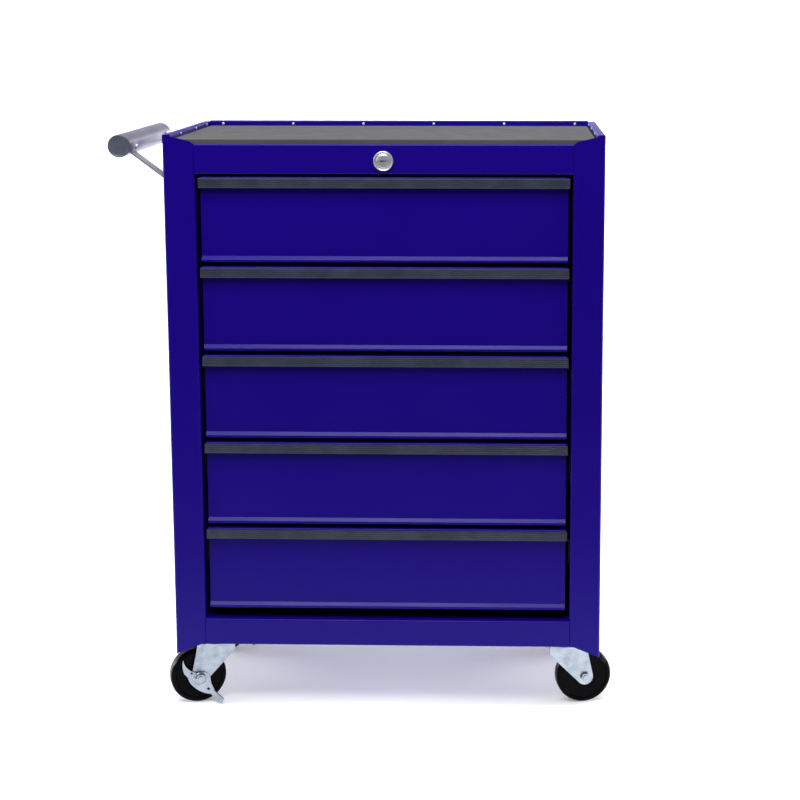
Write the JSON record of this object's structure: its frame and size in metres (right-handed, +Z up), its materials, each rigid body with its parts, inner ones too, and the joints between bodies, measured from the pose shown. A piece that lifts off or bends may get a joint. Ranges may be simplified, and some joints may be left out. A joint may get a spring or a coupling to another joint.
{
  "type": "tool cart",
  "caption": "Steel tool cart with a bank of drawers under a matted top, a grip tube on one side and swivel casters.",
  "frame": {"origin": "middle of the bounding box, on the floor under the wheels", "axes": "+Z up, +X to the right as seen from the front, +Y from the front to the back; the drawers open towards -Y"},
  "size_m": [0.7132, 0.3334, 0.8415],
  "materials": {
    "cabinet_paint": "gloss powder coat, deep indigo",
    "pull_strip": "satin extruded strip, slate grey",
    "mat_rubber": "matt grey sheet",
    "grip_paint": "satin silver",
    "cap_plastic": "moulded, dark slate",
    "chrome": "bright plated",
    "wheel_plastic": "moulded, gloss black",
    "slide_coat": "satin black electrocoat",
    "zinc": "bright zinc plate"
  },
  "bodies": {
    "cabinet": {"left_side_panel": "cabinet_paint", "right_side_panel": "cabinet_paint", "back_panel": "cabinet_paint", "top_rail": "cabinet_paint", "bottom_rail": "cabinet_paint", "base_plate": "cabinet_paint", "top_tray": "cabinet_paint", "top_mat": "mat_rubber", "rear_uprights": "cabinet_paint", "rim_rivets": "zinc", "lock_housing": "chrome", "lock_bar_guides": "zinc", "handle_tube": "grip_paint", "handle_end_caps": "cap_plastic", "handle_struts": "chrome", "handle_screws": "chrome", "caster_plates": "zinc", "caster_bolts": "zinc", "swivel_balls": "zinc", "outer_slides_right": "slide_coat", "outer_slides_left": "slide_coat"},
    "lock_cylinder": {"lock_plug": "chrome", "lock_tail_rod": "zinc"},
    "lock_bar": {"lock_bar": "zinc"},
    "drawer_1": {"drawer_1_box": "cabinet_paint", "drawer_1_pull": "pull_strip", "drawer_1_inner_slides": "slide_coat"},
    "drawer_1_retainers": {"drawer_1_ball_retainers": "zinc"},
    "drawer_2": {"drawer_2_box": "cabinet_paint", "drawer_2_pull": "pull_strip", "drawer_2_inner_slides": "slide_coat"},
    "drawer_2_retainers": {"drawer_2_ball_retainers": "zinc"},
    "drawer_3": {"drawer_3_box": "cabinet_paint", "drawer_3_pull": "pull_strip", "drawer_3_inner_slides": "slide_coat"},
    "drawer_3_retainers": {"drawer_3_ball_retainers": "zinc"},
    "drawer_4": {"drawer_4_box": "cabinet_paint", "drawer_4_pull": "pull_strip", "drawer_4_inner_slides": "slide_coat"},
    "drawer_4_retainers": {"drawer_4_ball_retainers": "zinc"},
    "drawer_5": {"drawer_5_box": "cabinet_paint", "drawer_5_pull": "pull_strip", "drawer_5_inner_slides": "slide_coat"},
    "drawer_5_retainers": {"drawer_5_ball_retainers": "zinc"},
    "front_left_caster_swivel": {"front_left_caster_fork": "zinc", "front_left_caster_axle": "zinc"},
    "front_left_caster_roller": {"front_left_caster_wheel": "wheel_plastic"},
    "front_left_caster_lever": {"front_left_caster_brake": "zinc"},
    "front_right_caster_swivel": {"front_right_caster_fork": "zinc", "front_right_caster_axle": "zinc"},
    "front_right_caster_roller": {"front_right_caster_wheel": "wheel_plastic"},
    "rear_left_caster_swivel": {"rear_left_caster_fork": "zinc", "rear_left_caster_axle": "zinc"},
    "rear_left_caster_roller": {"rear_left_caster_wheel": "wheel_plastic"},
    "rear_left_caster_lever": {"rear_left_caster_brake": "zinc"},
    "rear_right_caster_swivel": {"rear_right_caster_fork": "zinc", "rear_right_caster_axle": "zinc"},
    "rear_right_caster_roller": {"rear_right_caster_wheel": "wheel_plastic"}
  },
  "joints": [
    {"name": "lock_turn", "type": "hinge", "parent": "cabinet", "child": "lock_cylinder", "pos_m": [0.02989, -0.1533, 0.804], "axis": [0, 1, 0], "range_deg": [0, 90]},
    {"name": "lock_bar_lift", "type": "slide", "parent": "cabinet", "child": "lock_bar", "axis": [0, 0, 1], "range_m": [0, 0.01273]},
    {"name": "drawer_1_slide", "type": "slide", "parent": "cabinet", "child": "drawer_1", "axis": [0, -1, 0], "range_m": [0, 0.195]},
    {"name": "drawer_1_retainer_run", "type": "slide", "parent": "cabinet", "child": "drawer_1_retainers", "axis": [0, -1, 0], "range_m": [0, 0.098]},
    {"name": "drawer_2_slide", "type": "slide", "parent": "cabinet", "child": "drawer_2", "axis": [0, -1, 0], "range_m": [0, 0.195]},
    {"name": "drawer_2_retainer_run", "type": "slide", "parent": "cabinet", "child": "drawer_2_retainers", "axis": [0, -1, 0], "range_m": [0, 0.098]},
    {"name": "drawer_3_slide", "type": "slide", "parent": "cabinet", "child": "drawer_3", "axis": [0, -1, 0], "range_m": [0, 0.195]},
    {"name": "drawer_3_retainer_run", "type": "slide", "parent": "cabinet", "child": "drawer_3_retainers", "axis": [0, -1, 0], "range_m": [0, 0.098]},
    {"name": "drawer_4_slide", "type": "slide", "parent": "cabinet", "child": "drawer_4", "axis": [0, -1, 0], "range_m": [0, 0.195]},
    {"name": "drawer_4_retainer_run", "type": "slide", "parent": "cabinet", "child": "drawer_4_retainers", "axis": [0, -1, 0], "range_m": [0, 0.098]},
    {"name": "drawer_5_slide", "type": "slide", "parent": "cabinet", "child": "drawer_5", "axis": [0, -1, 0], "range_m": [0, 0.195]},
    {"name": "drawer_5_retainer_run", "type": "slide", "parent": "cabinet", "child": "drawer_5_retainers", "axis": [0, -1, 0], "range_m": [0, 0.098]},
    {"name": "front_left_caster_turn", "type": "hinge", "parent": "cabinet", "child": "front_left_caster_swivel", "pos_m": [-0.22761, -0.1133, 0.0915], "axis": [0, 0, 1], "continuous": true},
    {"name": "front_left_caster_roll", "type": "hinge", "parent": "front_left_caster_swivel", "child": "front_left_caster_roller", "pos_m": [-0.25456, -0.12258, 0.041], "axis": [-0.3256, 0.9455, 0], "continuous": true},
    {"name": "front_left_caster_brake_press", "type": "hinge", "parent": "front_left_caster_swivel", "child": "front_left_caster_lever", "pos_m": [-0.25456, -0.12258, 0.041], "axis": [0.3256, -0.9455, 0], "range_deg": [0, 18]},
    {"name": "front_right_caster_turn", "type": "hinge", "parent": "cabinet", "child": "front_right_caster_swivel", "pos_m": [0.28739, -0.1133, 0.0915], "axis": [0, 0, 1], "continuous": true},
    {"name": "front_right_caster_roll", "type": "hinge", "parent": "front_right_caster_swivel", "child": "front_right_caster_roller", "pos_m": [0.31526, -0.10737, 0.041], "axis": [-0.2079, 0.9781, 0], "continuous": true},
    {"name": "rear_left_caster_turn", "type": "hinge", "parent": "cabinet", "child": "rear_left_caster_swivel", "pos_m": [-0.22761, 0.1167, 0.0915], "axis": [0, 0, 1], "continuous": true},
    {"name": "rear_left_caster_roll", "type": "hinge", "parent": "rear_left_caster_swivel", "child": "rear_left_caster_roller", "pos_m": [-0.24396, 0.09335, 0.041], "axis": [-0.8192, 0.5736, 0], "continuous": true},
    {"name": "rear_left_caster_brake_press", "type": "hinge", "parent": "rear_left_caster_swivel", "child": "rear_left_caster_lever", "pos_m": [-0.24396, 0.09335, 0.041], "axis": [0.8192, -0.5736, 0], "range_deg": [0, 18]},
    {"name": "rear_right_caster_turn", "type": "hinge", "parent": "cabinet", "child": "rear_right_caster_swivel", "pos_m": [0.28739, 0.1167, 0.0915], "axis": [0, 0, 1], "continuous": true},
    {"name": "rear_right_caster_roll", "type": "hinge", "parent": "rear_right_caster_swivel", "child": "rear_right_caster_roller", "pos_m": [0.30373, 0.09335, 0.041], "axis": [0.8192, 0.5736, 0], "continuous": true}
  ],
  "couplings": [
    {"joint": "lock_turn", "follows": "lock_bar_lift", "rad_per_m": 123.41},
    {"joint": "drawer_1_retainer_run", "follows": "drawer_1_slide", "ratio": 0.5},
    {"joint": "drawer_2_retainer_run", "follows": "drawer_2_slide", "ratio": 0.5},
    {"joint": "drawer_3_retainer_run", "follows": "drawer_3_slide", "ratio": 0.5},
    {"joint": "drawer_4_retainer_run", "follows": "drawer_4_slide", "ratio": 0.5},
    {"joint": "drawer_5_retainer_run", "follows": "drawer_5_slide", "ratio": 0.5}
  ]
}
